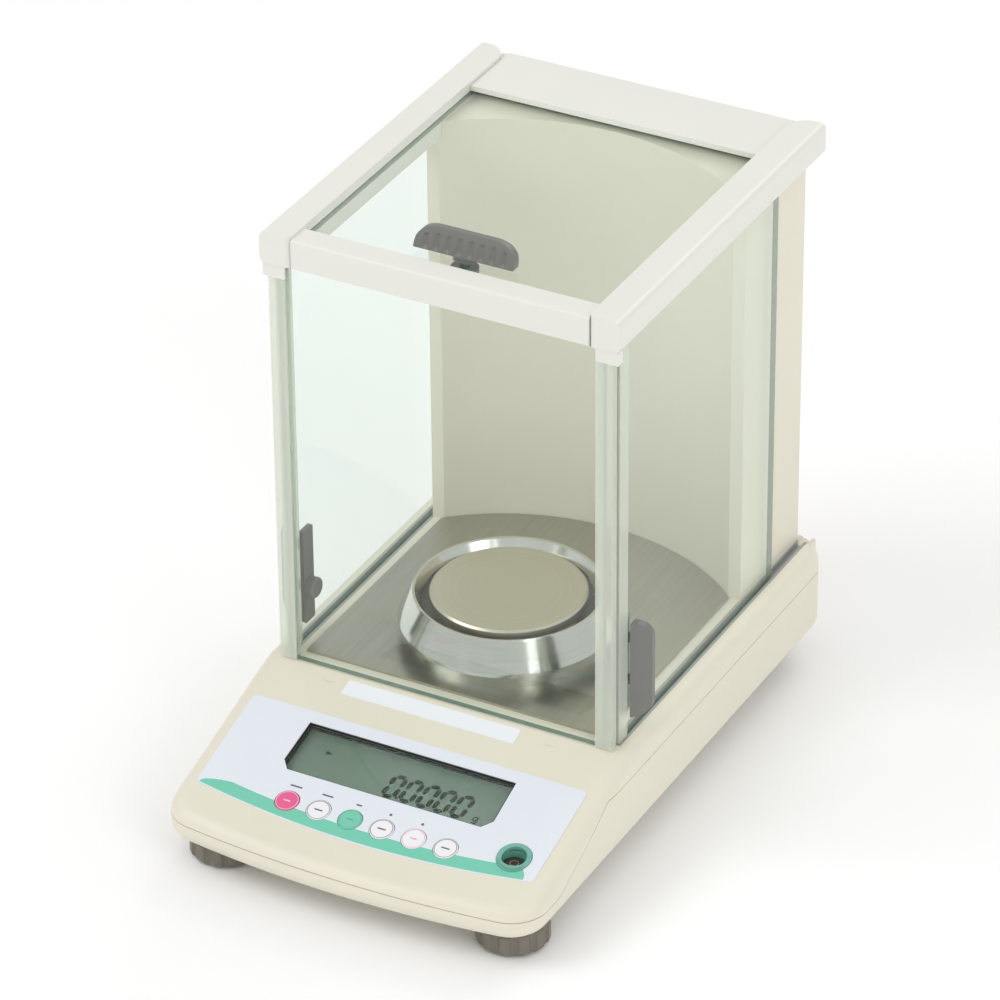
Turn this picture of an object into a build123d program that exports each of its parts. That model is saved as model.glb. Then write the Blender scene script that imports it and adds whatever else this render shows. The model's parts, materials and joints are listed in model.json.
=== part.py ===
from build123d import *
import os
from math import cos, radians, sin, tan

os.makedirs("parts", exist_ok=True)

# Millimetres, +Z up, +Y to the rear, origin on the bench under the middle of the balance.

# Housing
base_width = 207
base_length = 342
underside = 17
deck = 65
slope_top = -55
slope = 16.3
front_bow = 9
plan_corner = 20
crease_round = 26
top_round = 9.5
bottom_round = 7
wall = 2.5
seam = 0.4
parting_rear = 52
parting_front = 28.5
ramp_rear = -80
ramp_front = -132

# Weighing chamber
glass_front = -57
glass_thickness = 3
door_outside = 93
door_rear = 120.8
rail_underside = 289.9
rail_top = 306.8
top_width = 194.5
top_rear = 165
opening_width = 160.8
opening_front = -43
opening_rear = 123.3
column_half = 89
column_front = 93
column_rear = 143
recess_radius = 124
column_top = 298
cover_rear = 164
slide_gap = 0.3

# Doors
edge_strip = 9
handle_length = 54
handle_foot = -42
stub_radius = 2.5
top_glass_low = 298.5
side_door_low = 62.3
side_door_high = 293.6

# Weighing
pan_y = 10.7
pan_radius = 40
pan_top = 93.2
ring_edge_radius = 56
ring_edge = 77
ring_skirt_radius = 50
ring_rim_radius = 48.6
ring_top = 93.6
floor_half = 83
floor_thickness = 1.5
shaft_radius = 4
shaft_play = 0.05
lever_arm = 12.2
lever_reach = 70
lever_low = 40
lever_high = 45

# Operating panel, measured on the slope from the display's upper edge
panel_y = -90.5
overlay_half = 93.7
overlay_thickness = 0.4
overlay_high = 7
overlay_low_side = -53.5
overlay_low_middle = -62
key_radius = 6.2
key_pitch = 17.65
key_line = -49.4
key_gap = 0.3
level_x = 78.3
level_line = -42.8
level_hole = 9
level_bezel = 8.8
level_cup = 8
level_bore = 6.2
level_depth = 8.5

# Feet
foot_x = 80.3
foot_y = -137.1
knob_radius = 18.5
knob_low = 1.5
knob_high = 13
stud_radius = 4
rear_foot_x = 70
rear_foot_y = 138
rear_foot_radius = 12

door_inside = door_outside - glass_thickness
half_width = base_width / 2
half_length = base_length / 2
panel_z = deck - (slope_top - panel_y) * tan(radians(slope))
panel = Plane(
    origin=(0, panel_y, panel_z),
    x_dir=(1, 0, 0),
    z_dir=(0, -sin(radians(slope)), cos(radians(slope))),
)
level_point = (panel * Location((level_x, level_line, 0))).position
level_y = level_point.Y
level_top = level_point.Z


def housing_block(margin):
    """The outline of the whole base, with every face set in by margin."""
    half = half_width - margin
    rear = half_length - margin
    front = -half_length + margin
    corner = front + front_bow
    top = deck - margin
    crease = slope_top + margin * tan(radians(slope / 2))
    front_top = top - (crease - front) * tan(radians(slope))
    deep = -deck
    with BuildSketch() as plan:
        with BuildLine():
            Polyline((half, corner), (half, rear), (-half, rear), (-half, corner))
            ThreePointArc((-half, corner), (0, front), (half, corner))
        make_face()
        fillet(plan.vertices(), plan_corner - margin)
    with BuildPart() as upper:
        with BuildSketch(Plane.XY.offset(deep)):
            add(plan.sketch)
        extrude(amount=2 * deck)
        with BuildSketch(Plane.YZ) as side:
            with BuildLine():
                Polyline(
                    (front, front_top), (crease, top), (rear, top), (rear, deep), (front, deep), close=True
                )
            make_face()
            turn = side.vertices().sort_by_distance((crease, top))[0]
            fillet(turn, crease_round)
        extrude(amount=base_width, both=True, mode=Mode.INTERSECT)
        tops = upper.faces().filter_by(lambda face: face.normal_at().Z > 0.5)
        creases = tops.edges().filter_by(Axis.X).filter_by_position(Axis.Y, front, 0)
        fillet([edge for edge in tops.edges() if edge not in creases], top_round - margin)
    with BuildPart() as block:
        with BuildSketch(Plane.XY.offset(underside + margin)):
            add(plan.sketch)
        extrude(amount=2 * deck)
        fillet(block.faces().sort_by(Axis.Z)[0].edges(), bottom_round - margin)
        add(upper.part, mode=Mode.INTERSECT)
    return block.part


def below_parting(drop):
    """Everything under the line where the upper housing meets the tray."""
    with BuildPart() as region:
        with BuildSketch(Plane.YZ):
            with BuildLine():
                Polyline(
                    (-base_length, parting_front - drop),
                    (ramp_front, parting_front - drop),
                    (ramp_rear, parting_rear - drop),
                    (base_length, parting_rear - drop),
                    (base_length, -deck),
                    (-base_length, -deck),
                    close=True,
                )
            make_face()
        extrude(amount=base_width, both=True)
    return region.part


def save(part, name):
    part.label = name
    export_step(part, f"parts/{name}.step")


def key_places():
    return [((index - 2.5) * key_pitch, key_line) for index in range(6)]


outer_block = housing_block(0)
inner_block = housing_block(wall)

# Track grooves for the side doors
track_middle = (door_inside + door_outside) / 2
track_width = 6.6
track_depth = 4
track_front = glass_front + 5
screw_places = [(-62, -60), (62, -60), (-62, 150), (62, 150)]
post_radius = 5
post_split = 45
screw_hole = 1.6
screw_clearance = 1.8
screw_shank = 1.5
screw_head = 3
screw_counterbore = 3.4
screw_sink = 3

window_points = [(-57.8, 0), (57.8, 0), (58.5, -26), (54, -31.3), (-54, -31.3), (-58.5, -26)]
pocket_depth = 30

# Upper housing: deck, sloping panel and front lip
with BuildPart() as upper_housing:
    add(outer_block)
    add(inner_block, mode=Mode.SUBTRACT)
    with Locations((-track_middle, track_front - 3, deck - 1), (track_middle, track_front - 3, deck - 1)):
        Box(
            track_width + 4,
            half_length - wall - track_front,
            track_depth + 1.5,
            align=(Align.CENTER, Align.MIN, Align.MAX),
        )
    with Locations(*[(x, y, deck - wall) for x, y in screw_places]):
        Cylinder(post_radius, deck - wall - post_split, align=(Align.CENTER, Align.CENTER, Align.MAX))
    add(below_parting(0), mode=Mode.SUBTRACT)
    with Locations(*[(x, y, deck - wall) for x, y in screw_places]):
        Cylinder(post_radius, deck - wall - post_split, align=(Align.CENTER, Align.CENTER, Align.MAX))
    with Locations(*[(x, y, post_split) for x, y in screw_places]):
        Cylinder(screw_hole, 12, align=(Align.CENTER, Align.CENTER, Align.MIN), mode=Mode.SUBTRACT)
    with Locations((track_middle, track_front, deck), (-track_middle, track_front, deck)):
        Box(
            track_width,
            base_length,
            2 * track_depth,
            align=(Align.CENTER, Align.MIN, Align.CENTER),
            mode=Mode.SUBTRACT,
        )
    with BuildSketch(Plane.XY.offset(deck - 2 * wall)):
        with Locations((0, pan_y)):
            Circle(14)
        with Locations((0, (column_rear + recess_radius + 2 * wall) / 2)):
            Rectangle(60, 10)
    extrude(amount=4 * wall, mode=Mode.SUBTRACT)
    with BuildSketch(panel):
        Polygon(*window_points, align=None)
        with Locations(*key_places()):
            Circle(key_radius + key_gap)
    extrude(amount=pocket_depth, both=True, mode=Mode.SUBTRACT)
    with Locations((level_x, level_y, panel_z)):
        Cylinder(level_hole, 2 * pocket_depth, mode=Mode.SUBTRACT)
save(upper_housing.part, "upper_housing")

# Base tray with foot bosses, screw posts and rear sockets
boss_radius = 9
insert_radius = 6
insert_high = 27.5
hook_hole = 12
jack_x = -60
port_x = 20
socket_z = 36
ground_x = -20
jack_radius = 5.4
stud_thread = 2
hex_radius = 4.2
with BuildPart() as base_tray:
    add(outer_block)
    add(inner_block, mode=Mode.SUBTRACT)
    add(below_parting(seam), mode=Mode.INTERSECT)
    with Locations((-foot_x, foot_y, underside + 0.5), (foot_x, foot_y, underside + 0.5)):
        Cylinder(boss_radius, insert_high - underside - 1.5, align=(Align.CENTER, Align.CENTER, Align.MIN))
    with Locations(*[(x, y, underside + 0.5) for x, y in screw_places]):
        Cylinder(post_radius, post_split - underside - 0.5, align=(Align.CENTER, Align.CENTER, Align.MIN))
    with Locations((-foot_x, foot_y, 0), (foot_x, foot_y, 0)):
        Cylinder(insert_radius, 2 * deck, mode=Mode.SUBTRACT)
    with Locations(*[(x, y, 0) for x, y in screw_places]):
        Cylinder(screw_clearance, 2 * deck, mode=Mode.SUBTRACT)
    with Locations(*[(x, y, 0) for x, y in screw_places]):
        Cylinder(screw_counterbore, 2 * (underside + 2 * screw_sink), mode=Mode.SUBTRACT)
    with Locations((0, pan_y, 0)):
        Cylinder(hook_hole, 2 * (underside + wall + 1), mode=Mode.SUBTRACT)
    with BuildSketch(Plane.XZ.offset(-half_length)):
        with Locations((jack_x, socket_z)):
            Circle(jack_radius + 0.1)
        with Locations((port_x, socket_z)):
            Rectangle(31, 12.4)
        with Locations((ground_x, socket_z)):
            Circle(stud_thread + 0.05)
    extrude(amount=2 * wall, both=True, mode=Mode.SUBTRACT)
save(base_tray.part, "base_tray")

with BuildPart() as hook_cover:
    with Locations((0, pan_y, underside)):
        Cylinder(hook_hole - 0.1, 2, align=(Align.CENTER, Align.CENTER, Align.MIN))
        Box(14, 2, 1, align=(Align.CENTER, Align.CENTER, Align.MIN), mode=Mode.SUBTRACT)
save(hook_cover.part, "hook_cover")

# Screws that hold the tray to the upper housing
with BuildPart() as housing_screws:
    with Locations(*[(x, y, underside + screw_sink) for x, y in screw_places]):
        Cylinder(screw_head, screw_sink, align=(Align.CENTER, Align.CENTER, Align.MIN))
        Cylinder(screw_shank, 35, align=(Align.CENTER, Align.CENTER, Align.MIN))
save(housing_screws.part, "housing_screws")

# Levelling feet
knob_scallops = 12
stud_length = 21
pad_radius = 15
pad_high = 1.2
for side, x in (("left", -foot_x), ("right", foot_x)):
    with BuildPart() as foot_pad:
        with Locations((x, foot_y, 0)):
            Cylinder(pad_radius, pad_high, align=(Align.CENTER, Align.CENTER, Align.MIN))
            Cylinder(5, 6, align=(Align.CENTER, Align.CENTER, Align.MIN))
        fillet(foot_pad.edges().sort_by(Axis.Z)[0], 0.4)
    save(foot_pad.part, f"foot_pad_{side}")

    with BuildPart() as foot_knob:
        with Locations((x, foot_y, knob_low)):
            Cylinder(knob_radius, knob_high - knob_low, align=(Align.CENTER, Align.CENTER, Align.MIN))
        fillet(foot_knob.edges().filter_by(GeomType.CIRCLE).group_by(Axis.Z)[-1], 2.5)
        fillet(foot_knob.edges().filter_by(GeomType.CIRCLE).group_by(Axis.Z)[0], 1.5)
        with BuildSketch(Plane.XY.offset(knob_low)):
            with Locations((x, foot_y)):
                with PolarLocations(knob_radius + 1.6, knob_scallops):
                    Circle(3)
        extrude(amount=knob_high, mode=Mode.SUBTRACT)
        with Locations((x, foot_y, knob_low)):
            Cylinder(5.05, 5, align=(Align.CENTER, Align.CENTER, Align.MIN), mode=Mode.SUBTRACT)
        with Locations((x, foot_y, knob_low + 4.5)):
            Cylinder(stud_radius, stud_length, align=(Align.CENTER, Align.CENTER, Align.MIN))
    save(foot_knob.part, f"foot_knob_{side}")

with BuildPart() as foot_inserts:
    with Locations((-foot_x, foot_y, underside), (foot_x, foot_y, underside)):
        Cylinder(insert_radius, insert_high - underside, align=(Align.CENTER, Align.CENTER, Align.MIN))
        Cylinder(
            stud_radius + 0.08,
            insert_high - underside,
            align=(Align.CENTER, Align.CENTER, Align.MIN),
            mode=Mode.SUBTRACT,
        )
save(foot_inserts.part, "foot_inserts")

with BuildPart() as rear_feet:
    with BuildSketch():
        with Locations((-rear_foot_x, rear_foot_y), (rear_foot_x, rear_foot_y)):
            Circle(rear_foot_radius)
    extrude(amount=underside, taper=-6)
    fillet(rear_feet.edges().group_by(Axis.Z)[0], 1)
save(rear_feet.part, "rear_feet")

# Rear sockets
with BuildPart() as power_jack:
    with BuildSketch(Plane.XZ.offset(-half_length)):
        with Locations((jack_x, socket_z)):
            Circle(jack_radius)
            Circle(3.1, mode=Mode.SUBTRACT)
    extrude(amount=9)
    with BuildSketch(Plane.XZ.offset(9 - half_length)):
        with Locations((jack_x, socket_z)):
            Circle(jack_radius)
    extrude(amount=3)
    with BuildSketch(Plane.XZ.offset(1 - half_length)):
        with Locations((jack_x, socket_z)):
            Circle(1)
    extrude(amount=9)
save(power_jack.part, "power_jack")

with BuildPart() as data_port:
    with BuildSketch(Plane.XZ.offset(-half_length)):
        with Locations((port_x, socket_z)):
            RectangleRounded(30.8, 12.2, 1)
    extrude(amount=8)
    with BuildSketch(Plane.XZ.offset(-half_length)):
        with Locations((port_x, socket_z)):
            Trapezoid(17.4, 8.6, 80, rotation=180)
            Trapezoid(16.2, 7.4, 80, rotation=180, mode=Mode.SUBTRACT)
    extrude(amount=5, mode=Mode.SUBTRACT)
    with BuildSketch(Plane.XZ.offset(-half_length)):
        with Locations((port_x, socket_z)):
            with GridLocations(2.74, 2.84, 4, 2):
                Circle(0.55)
            with GridLocations(25, 1, 2, 1):
                Circle(1.55)
    extrude(amount=5, mode=Mode.SUBTRACT)
save(data_port.part, "data_port")

with BuildPart() as ground_terminal:
    with BuildSketch(Plane.XZ.offset(-half_length)):
        with Locations((ground_x, socket_z)):
            Circle(stud_thread)
    extrude(amount=12)
    with BuildSketch(Plane.XZ.offset(wall - half_length)):
        with Locations((ground_x, socket_z)):
            RegularPolygon(hex_radius, 6)
    extrude(amount=3)
save(ground_terminal.part, "ground_terminal")

# Operating panel
with BuildSketch(panel) as overlay_sheet:
    with BuildLine():
        Polyline(
            (-overlay_half, overlay_low_side),
            (-overlay_half, overlay_high),
            (overlay_half, overlay_high),
            (overlay_half, overlay_low_side),
        )
        ThreePointArc(
            (-overlay_half, overlay_low_side), (0, overlay_low_middle), (overlay_half, overlay_low_side)
        )
    make_face()
    fillet(overlay_sheet.vertices(), 3)
    Polygon(*window_points, align=None, mode=Mode.SUBTRACT)
    with Locations(*key_places()):
        Circle(key_radius + key_gap, mode=Mode.SUBTRACT)
    with Locations((level_x, level_line)):
        Circle(level_hole, mode=Mode.SUBTRACT)

with BuildPart() as panel_overlay:
    add(overlay_sheet.sketch)
    extrude(amount=overlay_thickness)
save(panel_overlay.part, "panel_overlay")

window_drop = 1.2
window_thickness = 1.5
lcd_drop = 4.5
lcd_thickness = 2.8
lcd_width = 124
lcd_height = 40
display_middle = -15.5
board_drop = 9.5
board_thickness = 1.6
board_middle = -24
board_width = 136
board_height = 60
with BuildPart() as display_window:
    with BuildSketch(panel.offset(-window_drop)):
        Polygon(*window_points, align=None)
    extrude(amount=-window_thickness)
save(display_window.part, "display_window")

with BuildPart() as lcd_module:
    with BuildSketch(panel.offset(-lcd_drop)):
        with Locations((0, display_middle)):
            Rectangle(lcd_width, lcd_height)
    extrude(amount=-lcd_thickness)
save(lcd_module.part, "lcd_module")

with BuildPart() as display_board:
    with BuildSketch(panel.offset(-board_drop)):
        with Locations((0, board_middle)):
            Rectangle(board_width, board_height)
            with GridLocations(board_width - 8, board_height - 8, 2, 2):
                Circle(screw_hole, mode=Mode.SUBTRACT)
    extrude(amount=-board_thickness)
save(display_board.part, "display_board")

# Keys stand on small switches on the display board
key_proud = 0.7
key_stem = 1.8
key_depth = 3.2
key_travel_gap = 0.6
switch_half = 3
plunger_radius = 1.6
switch_top = board_drop - 2.2
key_names = ("power", "calibrate", "mode", "print", "tare", "unit")
for name, place in zip(key_names, key_places()):
    with BuildPart() as key:
        with BuildSketch(panel.offset(key_proud)):
            with Locations(place):
                Circle(key_radius)
        extrude(amount=-(key_proud + key_depth))
        fillet(key.faces().sort_by(Axis(panel.origin, panel.z_dir))[-1].edges(), 0.5)
        with BuildSketch(panel.offset(-key_depth)):
            with Locations(place):
                Circle(key_stem)
        extrude(amount=-(switch_top - key_depth - key_travel_gap))
    save(key.part, f"key_{name}")

with BuildPart() as key_switches:
    with BuildSketch(panel.offset(-board_drop)):
        with Locations(*key_places()):
            Rectangle(2 * switch_half, 2 * switch_half)
    extrude(amount=board_drop - switch_top - 1)
    with BuildSketch(panel.offset(-switch_top - 1)):
        with Locations(*key_places()):
            Circle(plunger_radius)
    extrude(amount=1)
save(key_switches.part, "key_switches")

# Bubble level: a cup let into the panel, with a sealed vial standing level inside it
level_proud = 0.8
level_cup_floor = 1.5
with BuildPart() as level_holder:
    with BuildSketch(panel.offset(level_proud)):
        with Locations((level_x, level_line)):
            Circle(level_bezel)
    extrude(amount=-2 * level_proud)
    with Locations((level_x, level_y, level_top - level_depth)):
        Cylinder(level_cup, level_depth, align=(Align.CENTER, Align.CENTER, Align.MIN))
        Cylinder(level_bore, deck, align=(Align.CENTER, Align.CENTER, Align.MIN), mode=Mode.SUBTRACT)
    with Locations((level_x, level_y, level_top - level_depth)):
        Cylinder(level_cup, level_cup_floor, align=(Align.CENTER, Align.CENTER, Align.MAX))
save(level_holder.part, "level_holder")

with BuildPart() as level_vial:
    with Locations((level_x, level_y, level_top - level_depth)):
        Cylinder(level_bore - 0.1, 5.5, align=(Align.CENTER, Align.CENTER, Align.MIN))
    fillet(level_vial.edges().sort_by(Axis.Z)[-1], 1.2)
save(level_vial.part, "level_vial")

# Blank strip on the plain part of the slope, above the overlay
strip_x = -4
strip_line = 27
strip_width = 97
strip_height = 9.5
strip_thickness = 0.3
with BuildPart() as name_strip:
    with BuildSketch(panel):
        with Locations((strip_x, strip_line)):
            RectangleRounded(strip_width, strip_height, 1)
    extrude(amount=strip_thickness)
save(name_strip.part, "name_strip")

# Column: a hollow moulding with a rounded recess towards the chamber
shell = 2.5
recess_shell = recess_radius + shell
with BuildPart() as column_wall:
    with BuildSketch(Plane.XY.offset(deck)):
        with Locations((0, (column_front + column_rear) / 2)):
            Rectangle(2 * column_half, column_rear - column_front)
        Circle(recess_radius, mode=Mode.SUBTRACT)
    extrude(amount=column_top - deck)
    with BuildSketch(Plane.XY.offset(deck)):
        with Locations((0, column_rear)):
            Rectangle(2 * (column_half - shell), 2 * (column_rear - column_front - shell))
        Circle(recess_shell, mode=Mode.SUBTRACT)
    extrude(amount=column_top - deck - shell, mode=Mode.SUBTRACT)
save(column_wall.part, "column_wall")

cover_screws = [(x, z) for x in (-70, 70) for z in (90, 275)]
board_y = 138
main_board_thickness = 1.6
cover_round = 5
cover_post = 4.5
cover_screw_hole = 1.7
cover_screw_sink = 3
vent_height = 250
vent_pitch = 5
vent_count = 7
vent_length = 70
vent_width = 2
with BuildPart() as column_cover:
    with BuildSketch(Plane.XY.offset(deck)):
        with Locations((0, (column_rear + cover_rear) / 2)):
            Rectangle(2 * column_half, cover_rear - column_rear)
    extrude(amount=column_top - deck)
    fillet(column_cover.edges().filter_by(Axis.Z).group_by(Axis.Y)[-1], cover_round)
    with BuildSketch(Plane.XY.offset(deck + shell)):
        with Locations((0, (column_rear + cover_rear) / 2 - shell)):
            Rectangle(2 * (column_half - shell), cover_rear - column_rear)
    extrude(amount=column_top - deck - 2 * shell, mode=Mode.SUBTRACT)
    with BuildSketch(Plane.XZ.offset(-cover_rear)):
        with Locations(*cover_screws):
            Circle(cover_post)
    extrude(amount=cover_rear - board_y - main_board_thickness)
    with BuildSketch(Plane.XZ.offset(-cover_rear)):
        with Locations(*cover_screws):
            Circle(cover_screw_hole)
    extrude(amount=cover_rear - board_y, mode=Mode.SUBTRACT)
    with BuildSketch(Plane.XZ.offset(-cover_rear)):
        with Locations(*cover_screws):
            Circle(screw_head + 0.2)
    extrude(amount=cover_screw_sink, mode=Mode.SUBTRACT)
    with BuildSketch(Plane.XZ.offset(-cover_rear)):
        with Locations((0, vent_height)):
            with GridLocations(0, vent_pitch, 1, vent_count):
                SlotOverall(vent_length, vent_width)
    extrude(amount=2 * shell, mode=Mode.SUBTRACT)
save(column_cover.part, "column_cover")

with BuildPart() as cover_screw_set:
    with BuildSketch(Plane.XZ.offset(-cover_rear + 0.4)):
        with Locations(*cover_screws):
            Circle(screw_head)
    extrude(amount=cover_screw_sink - 0.4)
    with BuildSketch(Plane.XZ.offset(-cover_rear + cover_screw_sink)):
        with Locations(*cover_screws):
            Circle(screw_shank)
    extrude(amount=20)
save(cover_screw_set.part, "cover_screws")

with BuildPart() as main_board:
    with BuildSketch(Plane.XZ.offset(-board_y)):
        with Locations((0, 182)):
            Rectangle(150, 196)
    extrude(amount=main_board_thickness)
    with BuildSketch(Plane.XZ.offset(-board_y)):
        with Locations(*cover_screws):
            Circle(cover_screw_hole)
    extrude(amount=main_board_thickness, mode=Mode.SUBTRACT)
    with BuildSketch(Plane.XZ.offset(-board_y)):
        with Locations((-20, 200)):
            Rectangle(26, 26)
        with Locations((30, 150)):
            Rectangle(18, 30)
        with Locations((-25, 130)):
            Rectangle(30, 12)
    extrude(amount=-3)
save(main_board.part, "main_board")

# Roof of the chamber; each rail ends in a cap over the top of a front post
post_width = 9
post_front = glass_front - 1
post_depth = 5
post_cap = 7
glass_bite = 4
front_glass_half = door_outside - post_width + glass_bite
rail_width = top_width / 2 - opening_width / 2
rail_middle = (top_width / 2 + opening_width / 2) / 2
rail_front = glass_front - 1.5
rail_length = top_rear - rail_front
glass_groove = 3.9
tongue = 2.8
cover_low = 302.1
cover_high = 304.9
for side, sign in (("left", -1), ("right", 1)):
    with BuildPart() as top_rail:
        with Locations((sign * rail_middle, (rail_front + top_rear) / 2, rail_underside)):
            Box(rail_width, rail_length, rail_top - rail_underside, align=(Align.CENTER, Align.CENTER, Align.MIN))
        fillet(top_rail.edges().filter_by(Axis.Y).sort_by(Axis.X)[:: -sign][:2], 3)
        fillet(top_rail.edges().filter_by(Axis.Z).sort_by_distance((sign * half_width, rail_front, 0))[0], 4)
        fillet(top_rail.edges().filter_by(Axis.Z).sort_by_distance((sign * half_width, top_rear, 0))[0], 12)
        with Locations((0, rail_front + rail_length, rail_underside)):
            Box(
                2 * column_half,
                2 * (top_rear - column_front + slide_gap),
                2 * (column_top - rail_underside),
                mode=Mode.SUBTRACT,
            )
        with Locations((0, glass_front + 11, top_glass_low - 0.2)):
            Box(
                opening_width + 2 * glass_groove,
                base_length,
                glass_thickness + 0.5,
                align=(Align.CENTER, Align.MIN, Align.MIN),
                mode=Mode.SUBTRACT,
            )
        with Locations((0, opening_rear, cover_low + 0.6)):
            Box(
                opening_width + 6,
                base_length,
                1.6,
                align=(Align.CENTER, Align.MIN, Align.MIN),
                mode=Mode.SUBTRACT,
            )
        with Locations((sign * track_middle, track_front, rail_underside)):
            Box(
                glass_thickness + 2 * slide_gap,
                base_length,
                8.5,
                align=(Align.CENTER, Align.MIN, Align.CENTER),
                mode=Mode.SUBTRACT,
            )
        with Locations((sign * (door_outside - 3), rail_front + 0.5, rail_underside)):
            Box(12, post_depth, post_cap, align=(Align.CENTER, Align.MIN, Align.MAX))
        with Locations((0, glass_front - 0.05, 0)):
            Box(
                2 * front_glass_half + 0.1,
                glass_thickness + 0.1,
                rail_underside,
                align=(Align.CENTER, Align.MIN, Align.MIN),
                mode=Mode.SUBTRACT,
            )
    save(top_rail.part, f"top_rail_{side}")

with BuildPart() as front_bar:
    with Locations((0, rail_front + 0.8, rail_underside)):
        Box(
            opening_width,
            opening_front - rail_front - 0.8,
            rail_top - rail_underside - 1.3,
            align=(Align.CENTER, Align.MIN, Align.MIN),
        )
    fillet(front_bar.edges().filter_by(Axis.X).group_by(Axis.Z)[-1], 2)
    with Locations((0, glass_front + 11, top_glass_low - 0.2)):
        Box(opening_width, 20, glass_thickness + 0.5, align=(Align.CENTER, Align.MIN, Align.MIN), mode=Mode.SUBTRACT)
save(front_bar.part, "front_bar")

with BuildPart() as rear_cover:
    with Locations((0, opening_rear, cover_low)):
        Box(
            opening_width - 0.4,
            top_rear - opening_rear,
            cover_high - cover_low,
            align=(Align.CENTER, Align.MIN, Align.MIN),
        )
    fillet(rear_cover.edges().filter_by(Axis.X).group_by(Axis.Y)[-1].sort_by(Axis.Z)[-1], 1.5)
    with Locations((0, opening_rear + 0.4, cover_low + 0.7)):
        Box(
            opening_width + 2 * tongue,
            top_rear - opening_rear - 2,
            1.4,
            align=(Align.CENTER, Align.MIN, Align.MIN),
        )
save(rear_cover.part, "rear_cover")

# Fixed front glass between two posts
glass_low = deck + 0.2
glass_high = rail_underside - 0.2
with BuildPart() as front_glass:
    with Locations((0, glass_front, glass_low)):
        Box(
            2 * front_glass_half,
            glass_thickness,
            glass_high - glass_low,
            align=(Align.CENTER, Align.MIN, Align.MIN),
        )
save(front_glass.part, "front_glass")

for side, sign in (("left", -1), ("right", 1)):
    with BuildPart() as post:
        with Locations((sign * (door_outside - post_width / 2), post_front, deck)):
            Box(post_width, post_depth, rail_underside - post_cap - deck, align=(Align.CENTER, Align.MIN, Align.MIN))
        with Locations((0, glass_front - 0.05, deck)):
            Box(
                2 * front_glass_half + 0.1,
                glass_thickness + 0.1,
                base_length,
                align=(Align.CENTER, Align.MIN, Align.MIN),
                mode=Mode.SUBTRACT,
            )
    save(post.part, f"front_post_{side}")

# Tracks that the side doors run in
for side, sign in (("left", -1), ("right", 1)):
    with BuildPart() as track:
        with Locations((sign * track_middle, track_front, deck - track_depth)):
            Box(
                track_width - 0.1,
                half_length - track_front - 12,
                track_depth,
                align=(Align.CENTER, Align.MIN, Align.MIN),
            )
        with Locations((sign * track_middle, track_front + 0.8, deck - track_depth + 1)):
            Box(
                glass_thickness + 2 * slide_gap,
                base_length,
                track_depth,
                align=(Align.CENTER, Align.MIN, Align.MIN),
                mode=Mode.SUBTRACT,
            )
    save(track.part, f"lower_track_{side}")

# Side doors, each with an edge strip, an outer fin and an inner clip
door_front = track_front + 1.3
strip_low = deck + 0.5
strip_high = rail_underside - 0.5
fin_low = 76
fin_standoff = 1.8
fin_reach = 9.2
fin_lean = 6
fin_round = 8.5
fin_thickness = 3.6
clip_thickness = 2.5
stub_heights = (96, 120)
stub_y = handle_foot + 3.4
clip_y = handle_foot + 4.9
clip_width = 9.4
for side, sign in (("left", -1), ("right", 1)):
    with BuildPart() as side_door:
        with Locations((sign * track_middle, door_front, side_door_low)):
            Box(
                glass_thickness,
                door_rear - door_front,
                side_door_high - side_door_low,
                align=(Align.CENTER, Align.MIN, Align.MIN),
            )
        with BuildSketch(Plane.YZ):
            with Locations(*[(stub_y, height) for height in stub_heights]):
                Circle(stub_radius)
        extrude(amount=sign * base_width, mode=Mode.SUBTRACT)
    save(side_door.part, f"side_door_{side}")

    with BuildPart() as door_edge:
        with Locations((sign * track_middle, door_front - 0.6, strip_low)):
            Box(
                glass_thickness + 1.4,
                edge_strip,
                strip_high - strip_low,
                align=(Align.CENTER, Align.MIN, Align.MIN),
            )
        with Locations((sign * track_middle, door_front, 0)):
            Box(
                glass_thickness,
                edge_strip,
                2 * rail_top,
                align=(Align.CENTER, Align.MIN, Align.CENTER),
                mode=Mode.SUBTRACT,
            )
    save(door_edge.part, f"door_edge_{side}")

    root = sign * (door_outside + fin_standoff)
    tip = root + sign * fin_reach
    with BuildPart() as fin:
        with BuildSketch(Plane.XY.offset(fin_low)):
            Polygon(
                (root, handle_foot),
                (tip, handle_foot + fin_lean),
                (tip, handle_foot + fin_lean + fin_thickness - 0.6),
                (root, handle_foot + fin_thickness + 2),
                align=None,
            )
        extrude(amount=handle_length)
        with BuildSketch(Plane.XZ) as fin_outline:
            with Locations(((root + tip) / 2, fin_low + handle_length / 2)):
                Rectangle(fin_reach, handle_length)
            fillet(fin_outline.vertices().group_by(Axis.X)[::-sign][0], fin_round)
        extrude(amount=base_length, both=True, mode=Mode.INTERSECT)
        with BuildSketch(Plane.YZ.offset(sign * (door_inside))):
            with Locations(*[(stub_y, height) for height in stub_heights]):
                Circle(stub_radius)
        extrude(amount=sign * (glass_thickness + fin_standoff + 0.4))
    save(fin.part, f"side_handle_{side}")

    with BuildPart() as clip:
        with BuildSketch(Plane.YZ.offset(sign * door_inside)):
            with Locations((clip_y, fin_low + handle_length / 2)):
                RectangleRounded(clip_width, handle_length, 1)
        extrude(amount=-sign * clip_thickness)
        with BuildSketch(Plane.YZ.offset(sign * (door_inside - clip_thickness))):
            with Locations((clip_y, stub_heights[0])):
                Circle(5.5)
        extrude(amount=-sign * 5)
        fillet(clip.edges().filter_by(GeomType.CIRCLE).sort_by(Axis.X)[::sign][0], 1.5)
    save(clip.part, f"handle_clip_{side}")

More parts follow.
